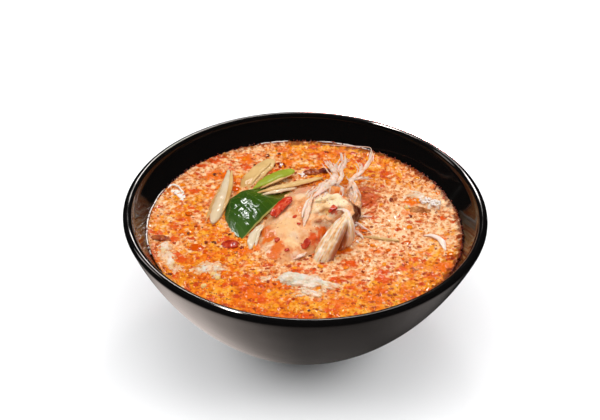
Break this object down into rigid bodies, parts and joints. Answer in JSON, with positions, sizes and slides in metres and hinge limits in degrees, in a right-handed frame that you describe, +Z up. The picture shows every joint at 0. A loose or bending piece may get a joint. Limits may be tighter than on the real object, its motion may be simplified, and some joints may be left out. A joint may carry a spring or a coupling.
{
  "type": "tom yum soup in a bowl",
  "caption": "Creamy orange tom yum soup in a round black bowl, with a prawn, mushrooms, a lime leaf, lemongrass, tomato and chilli.",
  "frame": {"origin": "centre of the ring that the bowl stands on, at the height of the table", "axes": "+Z up, -Y towards the diner and +X to the diner's right"},
  "size_m": [0.1798, 0.1798, 0.0788],
  "materials": {
    "black_glaze": "high-gloss black melamine",
    "creamy_broth": "glossy orange broth with cream and chilli oil",
    "cooked_prawn": "moist cooked prawn, peach to red",
    "mushroom_flesh": "moist pale mushroom",
    "glossy_leaf": "waxy dark green leaf",
    "lemongrass_white": "pale ribbed stem",
    "lemongrass_olive": "olive to straw ribbed stem",
    "lemongrass_green": "bright green ribbed stem",
    "red_chilli": "wet red chilli skin",
    "dried_chilli": "dark roasted chilli skin",
    "cooked_tomato": "soft cooked tomato",
    "white_onion": "translucent white onion"
  },
  "bodies": {
    "root": {"bowl": "black_glaze", "soup": "creamy_broth", "prawn": "cooked_prawn", "oyster_cap_large": "mushroom_flesh", "oyster_cap_small": "mushroom_flesh", "oyster_shred": "mushroom_flesh", "lime_leaf": "glossy_leaf", "lemongrass_husk": "lemongrass_white", "lemongrass_white": "lemongrass_white", "lemongrass_sliver": "lemongrass_white", "lemongrass_slice": "lemongrass_olive", "lemongrass_strip": "lemongrass_olive", "lemongrass_green": "lemongrass_green", "chilli_slice": "red_chilli", "chilli_piece": "red_chilli", "chilli_skin": "dried_chilli", "chilli_dried": "dried_chilli", "tomato_wedge": "cooked_tomato", "onion_arc": "white_onion", "onion_sliver": "white_onion", "mushroom_1": "mushroom_flesh", "mushroom_2": "mushroom_flesh", "mushroom_3": "mushroom_flesh", "mushroom_4": "mushroom_flesh", "mushroom_5": "mushroom_flesh", "mushroom_6": "mushroom_flesh", "mushroom_7": "mushroom_flesh"}
  },
  "joints": []
}
